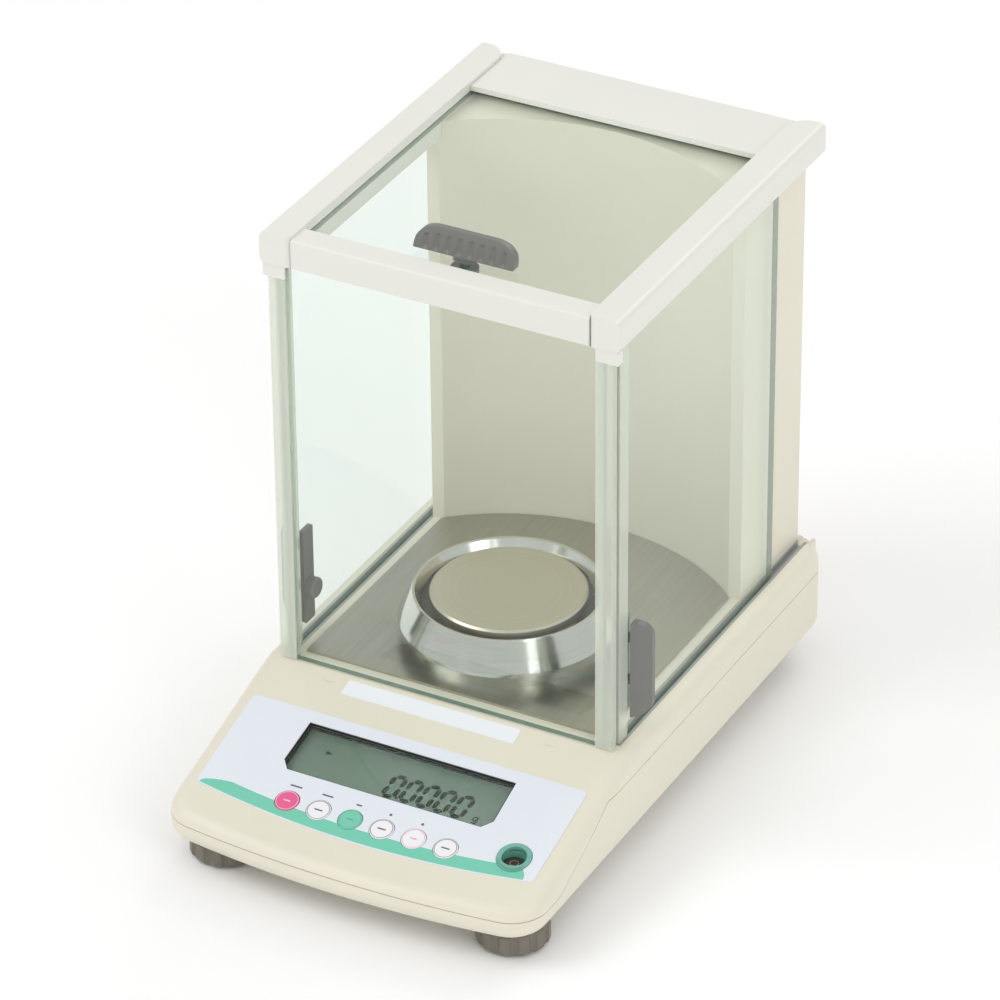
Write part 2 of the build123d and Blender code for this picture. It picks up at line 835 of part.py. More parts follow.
# Roof door
top_glass_front = glass_front + 11.4
top_handle_y = -33
top_fin_round = 5
top_fin_height = 11.3
with BuildPart() as top_door:
    with Locations((0, top_glass_front, top_glass_low)):
        Box(
            opening_width + 2 * glass_groove - 2 * slide_gap,
            opening_rear + 6 - top_glass_front,
            glass_thickness,
            align=(Align.CENTER, Align.MIN, Align.MIN),
        )
    with Locations((0, top_handle_y + 2, top_glass_low)):
        Cylinder(stub_radius, 4 * glass_thickness, mode=Mode.SUBTRACT)
save(top_door.part, "top_door")

glass_top = top_glass_low + glass_thickness
fin_foot = glass_top + 2.2
with BuildPart() as top_handle:
    with BuildSketch(Plane.YZ.offset(-handle_length / 2)):
        Polygon(
            (top_handle_y, fin_foot),
            (top_handle_y + fin_lean - 1, fin_foot + top_fin_height),
            (top_handle_y + fin_lean + fin_thickness - 1, fin_foot + top_fin_height),
            (top_handle_y + fin_thickness + 2, fin_foot),
            align=None,
        )
    extrude(amount=handle_length)
    with BuildSketch(Plane.XZ) as top_fin_outline:
        with Locations((0, fin_foot)):
            Rectangle(handle_length, top_fin_height, align=(Align.CENTER, Align.MIN))
        fillet(top_fin_outline.vertices().group_by(Axis.Y)[-1], top_fin_round)
    extrude(amount=base_length, both=True, mode=Mode.INTERSECT)
    with Locations((0, top_handle_y + 2, glass_top)):
        Box(12, 6, 2.6, align=(Align.CENTER, Align.CENTER, Align.MIN))
    with Locations((0, top_handle_y + 2, top_glass_low)):
        Cylinder(stub_radius, glass_thickness + 0.5, align=(Align.CENTER, Align.CENTER, Align.MIN))
save(top_handle.part, "top_handle")

with BuildPart() as top_handle_clip:
    with Locations((0, top_handle_y + 2, top_glass_low)):
        Cylinder(7, 2.5, align=(Align.CENTER, Align.CENTER, Align.MAX))
        Cylinder(5, 4, align=(Align.CENTER, Align.CENTER, Align.MAX))
save(top_handle_clip.part, "top_handle_clip")

# Weighing chamber floor, draft ring and pan
floor_front = glass_front + 8
with BuildPart() as floor_plate:
    with BuildSketch(Plane.XY.offset(deck)):
        with Locations((0, floor_front)):
            Rectangle(2 * floor_half, base_length, align=(Align.CENTER, Align.MIN))
        Circle(recess_radius - 0.5, mode=Mode.INTERSECT)
        with Locations((0, pan_y)):
            Circle(10, mode=Mode.SUBTRACT)
    extrude(amount=floor_thickness)
    with BuildSketch(Plane.XY.offset(deck + floor_thickness)):
        with Locations((0, pan_y)):
            Circle(11.2)
            Circle(10, mode=Mode.SUBTRACT)
    extrude(amount=5)
save(floor_plate.part, "floor_plate")

ring_base = deck + floor_thickness
ring_axis = Axis((0, pan_y, 0), (0, 0, 1))
pan_axis_plane = Plane(origin=(0, pan_y, 0), x_dir=(1, 0, 0), z_dir=(0, -1, 0))
with BuildPart() as draft_ring:
    with BuildSketch(pan_axis_plane):
        Polygon(
            (ring_skirt_radius - 1.5, ring_base),
            (ring_skirt_radius, ring_base),
            (ring_skirt_radius, ring_edge - 1),
            (ring_edge_radius, ring_edge - 1),
            (ring_edge_radius, ring_edge + 1),
            (ring_rim_radius + 0.6, ring_top - 1),
            (ring_rim_radius, ring_top),
            (ring_rim_radius - 1.4, ring_top - 0.4),
            (ring_rim_radius - 4.6, ring_top - 5),
            (ring_rim_radius - 4.6, ring_top - 7),
            (ring_rim_radius - 1.6, ring_top - 7),
            (ring_skirt_radius - 1.5, ring_edge + 1),
            align=None,
        )
    revolve(axis=ring_axis)
save(draft_ring.part, "draft_ring")

pan_thickness = 1.2
pan_skirt = 5
socket_low = 80
shaft_high = 91
with BuildPart() as weighing_pan:
    with BuildSketch(pan_axis_plane):
        Polygon(
            (0, shaft_high + 0.2),
            (0, pan_top),
            (pan_radius - 1, pan_top),
            (pan_radius, pan_top - 1),
            (pan_radius, pan_top - pan_skirt),
            (pan_radius - pan_thickness, pan_top - pan_skirt),
            (pan_radius - pan_thickness, pan_top - 1 - pan_thickness),
            (9, pan_top - 1 - pan_thickness),
            (7, socket_low),
            (shaft_radius + shaft_play, socket_low),
            (shaft_radius + shaft_play, shaft_high + 0.2),
            align=None,
        )
    revolve(axis=ring_axis)
save(weighing_pan.part, "weighing_pan")

# Weigh cell: hanger under the pan, lever on its pivot, and a coil in a magnet at the far end
hanger_low = 29
pivot_y = pan_y + lever_arm + 8
coil_y = pivot_y + lever_reach
link_y = pivot_y - lever_arm
pivot_z = (lever_low + lever_high) / 2
with BuildPart() as pan_support:
    with Locations((0, pan_y, hanger_low)):
        Cylinder(shaft_radius, shaft_high - hanger_low, align=(Align.CENTER, Align.CENTER, Align.MIN))
    with Locations((0, pan_y - 6, hanger_low)):
        Box(12, link_y - pan_y + 8, 6, align=(Align.CENTER, Align.MIN, Align.MIN))
    with Locations((0, link_y, hanger_low + 6)):
        Box(8, 0.6, lever_low - hanger_low - 6 - slide_gap, align=(Align.CENTER, Align.CENTER, Align.MIN))
    chamfer(pan_support.edges().filter_by(GeomType.CIRCLE).sort_by(Axis.Z)[-1], 0.8)
save(pan_support.part, "pan_support")

cell_base_low = 20
cell_base_high = 24
pillar_x = 23
pillar_width = 8
bridge_low = cell_base_low + 36
coil_low = 31
coil_radius = 12
coil_bore = 10.4
magnet_radius = 19
with BuildPart() as cell_frame:
    with Locations((0, pan_y - 20, cell_base_low)):
        Box(56, coil_y - pan_y + 46, cell_base_high - cell_base_low, align=(Align.CENTER, Align.MIN, Align.MIN))
    with Locations((0, pan_y, 0)):
        Cylinder(hook_hole - 2, 4 * cell_base_high, mode=Mode.SUBTRACT)
    with Locations((-pillar_x, pivot_y, cell_base_low), (pillar_x, pivot_y, cell_base_low)):
        Box(pillar_width, 20, 34, align=(Align.CENTER, Align.CENTER, Align.MIN))
    with Locations((-pillar_x, pan_y, cell_base_low), (pillar_x, pan_y, cell_base_low)):
        Box(pillar_width, 12, bridge_low - cell_base_low, align=(Align.CENTER, Align.CENTER, Align.MIN))
    with Locations((0, pan_y, bridge_low)):
        Box(2 * pillar_x + pillar_width, 12, 3, align=(Align.CENTER, Align.CENTER, Align.MIN))
        Cylinder(shaft_radius + 1.5, 8, mode=Mode.SUBTRACT)
save(cell_frame.part, "cell_frame")

with BuildPart() as weigh_lever:
    with Locations((0, link_y - 3, lever_low)):
        Box(9, coil_y - link_y + 6, lever_high - lever_low, align=(Align.CENTER, Align.MIN, Align.MIN))
    with Locations((0, pivot_y, lever_low)):
        Box(37, 5, lever_high - lever_low, align=(Align.CENTER, Align.CENTER, Align.MIN))
    with Locations((0, coil_y, lever_low)):
        Cylinder(coil_radius, 2, align=(Align.CENTER, Align.CENTER, Align.MIN))
save(weigh_lever.part, "weigh_lever")

with BuildPart() as force_coil:
    with BuildSketch(Plane.XY.offset(coil_low)):
        with Locations((0, coil_y)):
            Circle(coil_radius)
            Circle(coil_bore, mode=Mode.SUBTRACT)
    extrude(amount=lever_low - coil_low)
save(force_coil.part, "force_coil")

with BuildPart() as cell_magnet:
    with BuildSketch(Plane.XY.offset(cell_base_high)):
        with Locations((0, coil_y)):
            Circle(magnet_radius)
    extrude(amount=13)
    with BuildSketch(Plane.XY.offset(cell_base_high + 4)):
        with Locations((0, coil_y)):
            Circle(coil_radius + 2)
            Circle(coil_bore - 1.8, mode=Mode.SUBTRACT)
    extrude(amount=20, mode=Mode.SUBTRACT)
save(cell_magnet.part, "cell_magnet")
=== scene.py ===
"""Looks of the analytical balance.

Finishes for every CAD node, and the small printed and moulded detail.
"""

import json
import math

import bmesh
import bpy
from mathutils import Matrix, Vector


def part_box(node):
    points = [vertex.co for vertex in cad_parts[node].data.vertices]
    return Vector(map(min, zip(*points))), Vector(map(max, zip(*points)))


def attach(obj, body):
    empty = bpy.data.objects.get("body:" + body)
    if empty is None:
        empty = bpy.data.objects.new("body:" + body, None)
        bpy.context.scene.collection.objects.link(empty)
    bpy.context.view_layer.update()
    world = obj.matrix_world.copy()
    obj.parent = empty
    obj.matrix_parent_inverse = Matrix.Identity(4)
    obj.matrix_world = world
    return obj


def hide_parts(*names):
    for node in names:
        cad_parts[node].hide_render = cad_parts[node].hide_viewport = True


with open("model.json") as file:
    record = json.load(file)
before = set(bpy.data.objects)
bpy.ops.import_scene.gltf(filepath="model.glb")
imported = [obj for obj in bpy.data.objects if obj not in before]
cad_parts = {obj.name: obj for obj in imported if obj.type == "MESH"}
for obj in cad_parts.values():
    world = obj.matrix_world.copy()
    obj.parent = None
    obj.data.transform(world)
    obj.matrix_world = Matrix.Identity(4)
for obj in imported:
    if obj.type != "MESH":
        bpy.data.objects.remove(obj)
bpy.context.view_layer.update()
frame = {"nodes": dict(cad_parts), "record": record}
nodes = frame["nodes"]

MM = 0.001

# ---------------------------------------------------------------- camera
AZIMUTH = math.radians(28.42)
ELEVATION = math.radians(31.635)
ROLL = math.radians(-0.544)
DISTANCE = 2.8527
TARGET = Vector((0.00016, 0.00187, 0.14992))


def make_camera():
    data = bpy.data.cameras.new("camera")
    data.lens = 207.77
    data.sensor_width = 36
    data.clip_start = 0.05
    data.clip_end = 30
    camera = bpy.data.objects.new("camera", data)
    bpy.context.scene.collection.objects.link(camera)
    back = Vector(
        (
            math.sin(AZIMUTH) * math.cos(ELEVATION),
            -math.cos(AZIMUTH) * math.cos(ELEVATION),
            math.sin(ELEVATION),
        )
    )
    right = (-back).cross(Vector((0, 0, 1))).normalized()
    up = right.cross(-back)
    x_axis = math.cos(ROLL) * right + math.sin(ROLL) * up
    y_axis = -math.sin(ROLL) * right + math.cos(ROLL) * up
    place = Matrix((x_axis, y_axis, back)).transposed().to_4x4()
    place.translation = TARGET + DISTANCE * back
    camera.matrix_world = place
    bpy.context.scene.camera = camera


make_camera()


# ---------------------------------------------------------------- node helpers
class Nodes:
    """A short way to build one material's node tree."""

    def __init__(self, name):
        self.material = bpy.data.materials.new(name)
        self.material.use_nodes = True
        self.tree = self.material.node_tree
        self.tree.nodes.clear()
        self.output = self.tree.nodes.new("ShaderNodeOutputMaterial")
        self.place = self.add("ShaderNodeTexCoord").outputs["Object"]

    def add(self, kind, inputs=None, **settings):
        node = self.tree.nodes.new(kind)
        for key, value in settings.items():
            setattr(node, key, value)
        for key, value in (inputs or {}).items():
            self.feed(node.inputs[key], value)
        return node

    def feed(self, socket, value):
        if isinstance(value, bpy.types.NodeSocket):
            self.tree.links.new(value, socket)
        else:
            socket.default_value = value

    def maths(self, operation, first, second=0.0, third=0.0, clamp=False):
        node = self.add("ShaderNodeMath", operation=operation, use_clamp=clamp)
        for socket, value in zip(node.inputs, (first, second, third)):
            self.feed(socket, value)
        return node.outputs[0]

    def noise(self, scale, detail=3.0, stretch=None, roughness=0.5):
        source = self.place
        if stretch:
            source = self.add("ShaderNodeMapping", {"Vector": source, "Scale": stretch}).outputs[0]
        node = self.add(
            "ShaderNodeTexNoise",
            {"Vector": source, "Scale": scale, "Detail": detail, "Roughness": roughness},
        )
        return node.outputs[0]

    def spread(self, value, low, high, to_low, to_high):
        node = self.add(
            "ShaderNodeMapRange",
            {"Value": value, "From Min": low, "From Max": high, "To Min": to_low, "To Max": to_high},
        )
        return node.outputs[0]

    def blend(self, share, first, second):
        node = self.add("ShaderNodeMix", data_type="RGBA")
        self.feed(node.inputs[0], share)
        self.feed(node.inputs[6], first)
        self.feed(node.inputs[7], second)
        return node.outputs[2]

    def bump(self, height, strength, distance):
        node = self.add(
            "ShaderNodeBump", {"Height": height, "Strength": strength, "Distance": distance}
        )
        return node.outputs[0]

    def principled(self, **sockets):
        node = self.add("ShaderNodeBsdfPrincipled")
        for key, value in sockets.items():
            self.feed(node.inputs[key.replace("_", " ")], value)
        return node.outputs[0]

    def finish(self, shader):
        self.tree.links.new(shader, self.output.inputs["Surface"])
        return self.material


def rgb(red, green, blue):
    """A colour given in 0-255 display values, as the shaders want it."""

    def linear(value):
        value = value / 255
        return value / 12.92 if value <= 0.04045 else ((value + 0.055) / 1.055) ** 2.4

    return (linear(red), linear(green), linear(blue), 1.0)


def shade(colour, factor):
    return tuple(channel * factor for channel in colour[:3]) + (1.0,)


def plastic(name, colour, roughness=0.4, grain=1400, relief=0.05, variation=0.04, coat=0.0):
    """Moulded plastic: a faint mottle in colour and gloss, and a fine spark-eroded grain."""
    m = Nodes(name)
    mottle = m.noise(14, 4)
    tint = m.blend(m.spread(mottle, 0.3, 0.7, 0, 1), shade(colour, 1 - variation), colour)
    gloss = m.spread(m.noise(60, 3), 0.3, 0.7, roughness - 0.02, roughness + 0.03)
    fine = m.bump(m.noise(grain, 2), relief, 0.0004)
    return m.finish(
        m.principled(Base_Color=tint, Roughness=gloss, Normal=fine, Coat_Weight=coat, IOR=1.5)
    )


def metal(name, colour, roughness, stretch, scale=260, relief=0.12, variation=0.12):
    """Brushed, turned or satin metal, with its marks drawn out along one direction."""
    m = Nodes(name)
    marks = m.noise(scale, 4, stretch)
    broad = m.noise(18, 3)
    tint = m.blend(m.spread(marks, 0.3, 0.7, 0, 1), shade(colour, 1 - variation), colour)
    gloss = m.spread(broad, 0.3, 0.7, roughness - 0.05, roughness + 0.07)
    fine = m.bump(marks, relief, 0.0003)
    return m.finish(m.principled(Base_Color=tint, Metallic=1.0, Roughness=gloss, Normal=fine))


def turned_metal(name, colour, roughness, centre, pitch=900, relief=0.1, variation=0.1):
    """Metal turned on a lathe: fine rings round an upright axis through centre."""
    m = Nodes(name)
    apart = m.add(
        "ShaderNodeVectorMath", {0: m.place, 1: (centre[0], centre[1], 0)}, operation="SUBTRACT"
    )
    split = m.add("ShaderNodeSeparateXYZ", {0: apart.outputs[0]})
    radius = m.maths(
        "SQRT",
        m.maths(
            "ADD",
            m.maths("MULTIPLY", split.outputs[0], split.outputs[0]),
            m.maths("MULTIPLY", split.outputs[1], split.outputs[1]),
        ),
    )
    along = m.add("ShaderNodeCombineXYZ", {0: radius, 1: 0.0, 2: split.outputs[2]})
    rings = m.add(
        "ShaderNodeTexNoise", {"Vector": along.outputs[0], "Scale": pitch, "Detail": 3.0}
    ).outputs[0]
    smear = m.noise(25, 4)
    tint = m.blend(m.spread(rings, 0.3, 0.7, 0, 1), shade(colour, 1 - variation), colour)
    gloss = m.spread(smear, 0.3, 0.7, roughness - 0.04, roughness + 0.06)
    fine = m.bump(rings, relief, 0.0003)
    return m.finish(m.principled(Base_Color=tint, Metallic=1.0, Roughness=gloss, Normal=fine))


def pane(name, thin_axis, face_tint, edge_colour, edge_share=0.75, smear=0.05, haze=0.02):
    """Flat glass: clear through its faces, with a mirror sheen, and deep green at its cut edges."""
    m = Nodes(name)
    normal = m.add("ShaderNodeTexCoord").outputs["Normal"]
    across = m.add(
        "ShaderNodeVectorMath", {0: normal, 1: thin_axis}, operation="DOT_PRODUCT"
    ).outputs["Value"]
    edge = m.maths("LESS_THAN", m.maths("ABSOLUTE", across), 0.7)
    see = m.add("ShaderNodeBsdfTransparent", {"Color": face_tint}).outputs[0]
    film = m.spread(m.noise(9, 5), 0.35, 0.75, haze * 0.4, haze)
    dust = m.principled(Base_Color=rgb(226, 232, 228), Roughness=0.5, IOR=1.5)
    clouded = m.add("ShaderNodeMixShader", {0: film, 1: see, 2: dust}).outputs[0]
    shine = m.add(
        "ShaderNodeBsdfGlossy",
        {
            "Color": rgb(250, 255, 252),
            "Roughness": m.spread(m.noise(30, 4), 0.4, 0.8, 0.015, 0.015 + smear),
        },
    ).outputs[0]
    outside = m.maths("SUBTRACT", 1.0, m.add("ShaderNodeNewGeometry").outputs["Backfacing"])
    sheen = m.maths("MULTIPLY", m.add("ShaderNodeFresnel", {"IOR": 1.5}).outputs[0], outside)
    face = m.add("ShaderNodeMixShader", {0: sheen, 1: clouded, 2: shine}).outputs[0]
    cut = m.principled(Base_Color=edge_colour, Roughness=0.18, IOR=1.5, Coat_Weight=0.4)
    rim = m.add("ShaderNodeMixShader", {0: edge_share, 1: see, 2: cut}).outputs[0]
    return m.finish(m.add("ShaderNodeMixShader", {0: edge, 1: face, 2: rim}).outputs[0])


def frosted(name, colour, share, roughness=0.25):
    """Translucent plastic or liquid: some of what is behind shows through the colour."""
    m = Nodes(name)
    see = m.add("ShaderNodeBsdfTransparent", {"Color": shade(colour, 1.0)}).outputs[0]
    streak = m.noise(40, 3, (1, 1, 0.1))
    tint = m.blend(m.spread(streak, 0.3, 0.7, 0, 1), shade(colour, 0.9), colour)
    body = m.principled(
        Base_Color=tint, Roughness=roughness, IOR=1.5, Normal=m.bump(streak, 0.05, 0.0004)
    )
    return m.finish(m.add("ShaderNodeMixShader", {0: share, 1: see, 2: body}).outputs[0])


# ---------------------------------------------------------------- the sloping panel's own directions
SLOPE = math.radians(16.3)
PANEL_UP = Vector((0, math.cos(SLOPE), math.sin(SLOPE)))
PANEL_OUT = Vector((0, -math.sin(SLOPE), math.cos(SLOPE)))
PANEL_ORIGIN = Vector((0, -90.5, 54.62)) * MM
OVERLAY_THICK = 0.4
BAND_DEPTH = 7.6
BAND_MARGIN = 0.7
BAND_LEFT = 92.0
BAND_LEFT_TAPER = 16.0
BAND_RIGHT = 88.5
BAND_RIGHT_TAPER = 4.0
OVERLAY_LOW_MIDDLE = -62.0
OVERLAY_RADIUS = 520.7
KEY_PITCH = 17.65
KEY_LINE = -49.4
KEY_RADIUS = 6.2
KEY_PROUD = 0.7
KEY_BODIES = ("power", "calibrate", "mode", "print", "tare", "unit")
LCD_DROP = 4.5
LEVEL_X = 78.3
LEVEL_LINE = -42.8

CREAM = rgb(229, 224, 206)
WHITE = rgb(229, 229, 221)
MINT = rgb(118, 205, 178)
FILM = rgb(229, 233, 241)
GREY = rgb(122, 122, 118)


def on_panel(x, line, out=0.0):
    """The row-frame point, in metres, of a place on the sloping panel given in millimetres."""
    return PANEL_ORIGIN + MM * (Vector((x, 0, 0)) + line * PANEL_UP + out * PANEL_OUT)


def overlay_material():
    """Printed polyester film: blue-white, with a mint band along the bowed lower edge."""
    m = Nodes("overlay_film_look")
    split = m.add("ShaderNodeSeparateXYZ", {0: m.place})
    across = m.maths("MULTIPLY", split.outputs[0], 1 / MM)
    offset = m.add(
        "ShaderNodeVectorMath", {0: m.place, 1: tuple(PANEL_ORIGIN)}, operation="SUBTRACT"
    ).outputs[0]
    line = m.maths(
        "MULTIPLY",
        m.add("ShaderNodeVectorMath", {0: offset, 1: tuple(PANEL_UP)}, operation="DOT_PRODUCT").outputs["Value"],
        1 / MM,
    )
    bow = m.maths("MULTIPLY", m.maths("MULTIPLY", across, across), 1 / (2 * OVERLAY_RADIUS))
    lower_edge = m.maths("ADD", bow, OVERLAY_LOW_MIDDLE)
    above_edge = m.maths("GREATER_THAN", line, m.maths("ADD", lower_edge, BAND_MARGIN))
    left_end = m.spread(across, -BAND_LEFT, BAND_LEFT_TAPER - BAND_LEFT, 0, 1)
    right_end = m.spread(across, BAND_RIGHT - BAND_RIGHT_TAPER, BAND_RIGHT, 1, 0)
    fullness = m.maths("SQRT", m.maths("MULTIPLY", left_end, right_end))
    band_top = m.maths("MULTIPLY_ADD", fullness, BAND_DEPTH, m.maths("ADD", lower_edge, BAND_MARGIN))
    below_top = m.maths("LESS_THAN", line, band_top)
    band = m.maths("MULTIPLY", above_edge, below_top)
    mottle = m.spread(m.noise(30, 3), 0.3, 0.7, 0, 1)
    film = m.blend(mottle, shade(FILM, 0.99), FILM)
    mint = m.blend(mottle, shade(MINT, 0.98), MINT)
    colour = m.blend(band, film, mint)
    gloss = m.spread(m.noise(90, 3), 0.3, 0.7, 0.29, 0.33)
    fine = m.bump(m.noise(2200, 2), 0.04, 0.0003)
    return m.finish(m.principled(Base_Color=colour, Roughness=gloss, Normal=fine, IOR=1.5))


def lcd_material():
    """Liquid crystal glass: grey-green, with painted shade darkening it towards its upper edge under the
    recess's top wall, and faint ghost dots.
    """
    m = Nodes("lcd_glass_look")
    offset = m.add(
        "ShaderNodeVectorMath", {0: m.place, 1: tuple(PANEL_ORIGIN)}, operation="SUBTRACT"
    ).outputs[0]
    line = m.add(
        "ShaderNodeVectorMath", {0: offset, 1: tuple(PANEL_UP)}, operation="DOT_PRODUCT"
    ).outputs["Value"]
    # painted shade: the LCD is blended from its lit colour (light) to a shaded colour (dark) towards its upper
    # edge, where the recess's top wall shades it
    painted_top_shade = m.spread(line, -34 * MM, 4 * MM, 0, 1)
    light = rgb(166, 178, 170)
    dark = rgb(130, 143, 135)
    mottle = m.spread(m.noise(120, 3), 0.3, 0.7, -0.08, 0.08)
    colour = m.blend(m.maths("ADD", painted_top_shade, mottle, clamp=True), light, dark)
    gloss = m.spread(m.noise(60, 2), 0.3, 0.7, 0.2, 0.3)
    return m.finish(m.principled(Base_Color=colour, Roughness=gloss, IOR=1.5))


def board_material():
    """Circuit board: green lacquer over darker tracks."""
    m = Nodes("board_green_look")
    tracks = m.add(
        "ShaderNodeTexBrick",
        {"Vector": m.place, "Color1": rgb(20, 96, 60), "Color2": rgb(16, 84, 52), "Mortar": rgb(10, 60, 38)},
    )
    tracks.inputs["Scale"].default_value = 120
    return m.finish(
        m.principled(
            Base_Color=tracks.outputs[0],
            Roughness=m.spread(m.noise(80, 2), 0.3, 0.7, 0.3, 0.42),
            Normal=m.bump(tracks.outputs[1], 0.1, 0.0003),
        )
    )


GLASS_EDGE = rgb(92, 128, 112)
GLASS_FACE = rgb(253, 255, 254)
PAN_CENTRE = (0.0, 10.7 * MM)

looks = {
    "cream_plastic": plastic("cream_plastic_look", CREAM, 0.42, 1500, 0.06, 0.025),
    "white_plastic": plastic("white_plastic_look", WHITE, 0.36, 1500, 0.04, 0.02),
    "clear_glass_front": pane("clear_glass_front_look", (0, 1, 0), GLASS_FACE, GLASS_EDGE),
    "clear_glass_side": pane("clear_glass_side_look", (1, 0, 0), GLASS_FACE, GLASS_EDGE),
    "clear_glass_top": pane("clear_glass_top_look", (0, 0, 1), GLASS_FACE, GLASS_EDGE),
    "edge_plastic": frosted("edge_plastic_look", rgb(246, 249, 241), 0.45),
    "grey_plastic": plastic("grey_plastic_look", GREY, 0.42, 1100, 0.08, 0.06),
    "track_grey": plastic("track_grey_look", rgb(168, 170, 166), 0.4, 900, 0.06, 0.06),
    "foot_grey": plastic("foot_grey_look", rgb(122, 116, 104), 0.45, 900, 0.1, 0.1),
    "rubber": plastic("rubber_look", rgb(46, 45, 44), 0.75, 700, 0.2, 0.15),
    "floor_steel": metal("floor_steel_look", rgb(186, 184, 172), 0.34, (1, 0.04, 1), 420),
    "pan_steel": turned_metal("pan_steel_look", rgb(214, 208, 192), 0.36, PAN_CENTRE, 1400, 0.06, 0.06),
    "ring_steel": turned_metal("ring_steel_look", rgb(214, 213, 207), 0.13, PAN_CENTRE, 700, 0.03, 0.05),
    "aluminium": metal("aluminium_look", rgb(196, 197, 198), 0.4, (1, 0.06, 1), 300),
    "brass": metal("brass_look", rgb(205, 172, 96), 0.3, (1, 1, 0.08), 300),
    "screw_steel": turned_metal("screw_steel_look", rgb(176, 177, 178), 0.28, (0, 0), 500),
    "overlay_film": overlay_material(),
    "window_clear": pane(
        "window_clear_look", tuple(PANEL_OUT), rgb(236, 242, 238), rgb(120, 130, 122), 0.8, 0.03, 0.01
    ),
    "lcd_glass": lcd_material(),
    "board_green": board_material(),
    "switch_black": plastic("switch_black_look", rgb(34, 34, 35), 0.5, 900, 0.08, 0.1),
    "key_pink": plastic("key_pink_look", rgb(236, 96, 150), 0.34, 1600, 0.03, 0.04, 0.15),
    "key_white": plastic("key_white_look", rgb(242, 240, 244), 0.34, 1600, 0.03, 0.02, 0.15),
    "key_green": plastic("key_green_look", MINT, 0.34, 1600, 0.03, 0.04, 0.15),
    "level_green": plastic("level_green_look", rgb(112, 176, 160), 0.22, 800, 0.03, 0.06, 0.5),
    "level_glass": frosted("level_glass_look", rgb(96, 120, 92), 0.35, 0.06),
    "label_white": plastic("label_white_look", rgb(238, 241, 245), 0.3, 1800, 0.03, 0.01, 0.1),
    "socket_black": plastic("socket_black_look", rgb(30, 30, 31), 0.42, 900, 0.1, 0.1),
    "copper": metal("copper_look", rgb(196, 116, 74), 0.35, (1, 1, 14), 220, 0.5, 0.25),
    "magnet_steel": metal("magnet_steel_look", rgb(112, 112, 114), 0.4, (1, 1, 0.1), 200),
}

GLASS_LOOKS = {
    "front_glass": "clear_glass_front",
    "side_door_left": "clear_glass_side",
    "side_door_right": "clear_glass_side",
    "top_door": "clear_glass_top",
}

slot_of = {row["node"]: row["material_slot"] for row in frame["record"]["subparts"]}
for name, node in nodes.items():
    look = looks[GLASS_LOOKS.get(name, slot_of[name])]
    if node.material_slots:
        for place in node.material_slots:
            place.material = look
    else:
        node.data.materials.append(look)


# ---------------------------------------------------------------- mesh helpers
def piece(name, mesh_maker, look, body, smooth=True):
    """One new mesh object, made by mesh_maker(bm) in the row frame, riding on a body."""
    bm = bmesh.new()
    mesh_maker(bm)
    bmesh.ops.recalc_face_normals(bm, faces=bm.faces)
    mesh = bpy.data.meshes.new(name)
    bm.to_mesh(mesh)
    bm.free()
    mesh.materials.append(look)
    if smooth:
        mesh.shade_smooth()
        mesh.set_sharp_from_angle(angle=math.radians(35))
    obj = bpy.data.objects.new(name, mesh)
    bpy.context.scene.collection.objects.link(obj)
    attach(obj, body)
    return obj


def prism(bm, outline, lift, low, high):
    """A closed prism over a 2-D outline; lift(u, v, height) gives the row-frame point."""
    bottom = [bm.verts.new(lift(u, v, low)) for u, v in outline]
    top = [bm.verts.new(lift(u, v, high)) for u, v in outline]
    bm.faces.new(top)
    bm.faces.new(bottom[::-1])
    count = len(outline)
    for index in range(count):
        after = (index + 1) % count
        bm.faces.new((bottom[index], bottom[after], top[after], top[index]))


def annulus(bm, centre, inner, outer, lift, low, high, steps=64):
    """A closed flat ring."""
    loops = []
    for radius, height in ((inner, low), (inner, high), (outer, high), (outer, low)):
        loops.append(
            [
                bm.verts.new(
                    lift(
                        centre[0] + radius * math.cos(math.tau * step / steps),
                        centre[1] + radius * math.sin(math.tau * step / steps),
                        height,
                    )
                )
                for step in range(steps)
            ]
        )
    for here, there in zip(loops, loops[1:] + loops[:1]):
        for step in range(steps):
            after = (step + 1) % steps
            bm.faces.new((here[step], here[after], there[after], there[step]))


def round_rect(centre, width, height, corner, steps=5, slant=0.0):
    """Outline points of a rectangle with rounded corners, slanted like italic type if asked."""
    points = []
    for quarter, (side_x, side_y) in enumerate(((1, 1), (-1, 1), (-1, -1), (1, -1))):
        for step in range(steps + 1):
            angle = math.radians(90 * (quarter + step / steps))
            u = side_x * (width / 2 - corner) + corner * math.cos(angle)
            v = side_y * (height / 2 - corner) + corner * math.sin(angle)
            points.append((centre[0] + u + slant * v, centre[1] + v))
    return points


# ---------------------------------------------------------------- print on the panel and keys
PRINT_THICK = 0.04
ink_grey = plastic("ink_grey_look", rgb(96, 100, 106), 0.5, 1500, 0.02, 0.05)
ink_white = plastic("ink_white_look", rgb(246, 214, 226), 0.5, 1500, 0.02, 0.03)
ink_pink = plastic("ink_pink_look", rgb(232, 170, 190), 0.5, 1500, 0.02, 0.04)
ink_mint = plastic("ink_mint_look", rgb(96, 176, 152), 0.5, 1500, 0.02, 0.04)
ink_lcd = plastic("ink_lcd_look", rgb(24, 32, 30), 0.45, 1500, 0.02, 0.05)
KEY_INKS = {"power": ink_white, "mode": ink_mint, "tare": ink_pink}

